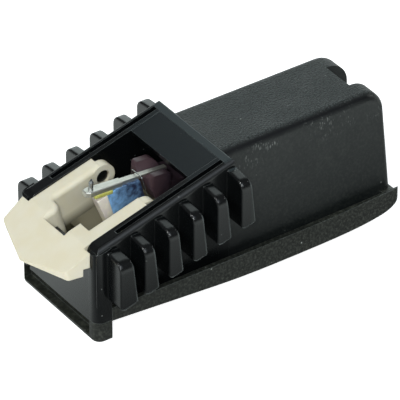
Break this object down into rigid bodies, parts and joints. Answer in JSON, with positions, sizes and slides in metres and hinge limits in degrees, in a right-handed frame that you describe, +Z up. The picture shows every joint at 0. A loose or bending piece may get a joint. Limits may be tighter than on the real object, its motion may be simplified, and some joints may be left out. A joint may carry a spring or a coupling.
{
  "type": "ceramic pickup cartridge with turntable stylus",
  "caption": "Small black plug-in pickup head on its back, with a ribbed grip, a cream stylus holder, a sprung stylus bar and rear contact pins.",
  "frame": {"origin": "middle of the part's plan box, on the surface it lies on", "axes": "+X from the stylus end to the contact end, +Y across, +Z up with the stylus on top"},
  "size_m": [0.0436, 0.0194, 0.0161],
  "materials": {
    "black_cover": "moulded, satin",
    "black_body": "moulded, fine spark grain on top",
    "cream_holder": "moulded, satin",
    "white_rubber": "soft, matt",
    "blue_rubber": "soft, slightly clear",
    "yellow_pad": "soft, matt",
    "fine_wire": "drawn",
    "maroon_rubber": "soft, slightly clear",
    "ceramic": "fired ceramic with silvered faces",
    "grey_rubber": "matt",
    "board": "pressed laminate",
    "bright_metal": "drawn, bright",
    "sleeve_metal": "pressed, bright",
    "shank_metal": "ground",
    "hard_tip": "polished jewel",
    "pin_metal": "turned, plated",
    "lead_metal": "drawn copper"
  },
  "bodies": {
    "housing": {"base_cover": "black_cover", "body_shell": "black_body", "stylus_holder": "cream_holder", "damper_front": "white_rubber", "damper_block": "blue_rubber", "retaining_wire": "fine_wire", "coupler": "maroon_rubber", "element_left": "ceramic", "element_right": "ceramic", "element_mount": "grey_rubber", "contact_board": "board", "contact_pin_1": "pin_metal", "contact_pin_2": "pin_metal", "contact_pin_3": "pin_metal", "contact_pin_4": "pin_metal", "lead_1": "lead_metal", "lead_2": "lead_metal", "lead_3": "lead_metal", "lead_4": "lead_metal"},
    "pad": {"bearing_pad": "yellow_pad"},
    "stylus_arm": {"stylus_bar": "bright_metal", "bar_sleeve": "sleeve_metal", "stylus_shank": "shank_metal", "stylus_tip": "hard_tip"}
  },
  "joints": [
    {"name": "stylus_lateral", "type": "hinge", "parent": "housing", "child": "pad", "pos_m": [-0.00931, 0, 0.01299], "axis": [0.0619, 0, 0.9981], "range_deg": [-2.5, 2.5], "stiffness_Nm_per_rad": 0.0004, "deforming": ["bearing_pad", "damper_front", "damper_block", "coupler"]},
    {"name": "stylus_vertical", "type": "hinge", "parent": "pad", "child": "stylus_arm", "pos_m": [-0.00931, 0, 0.01299], "axis": [0, 1, 0], "range_deg": [-2.5, 2.5], "stiffness_Nm_per_rad": 0.0004, "deforming": ["bearing_pad", "damper_front", "damper_block", "coupler"]}
  ]
}
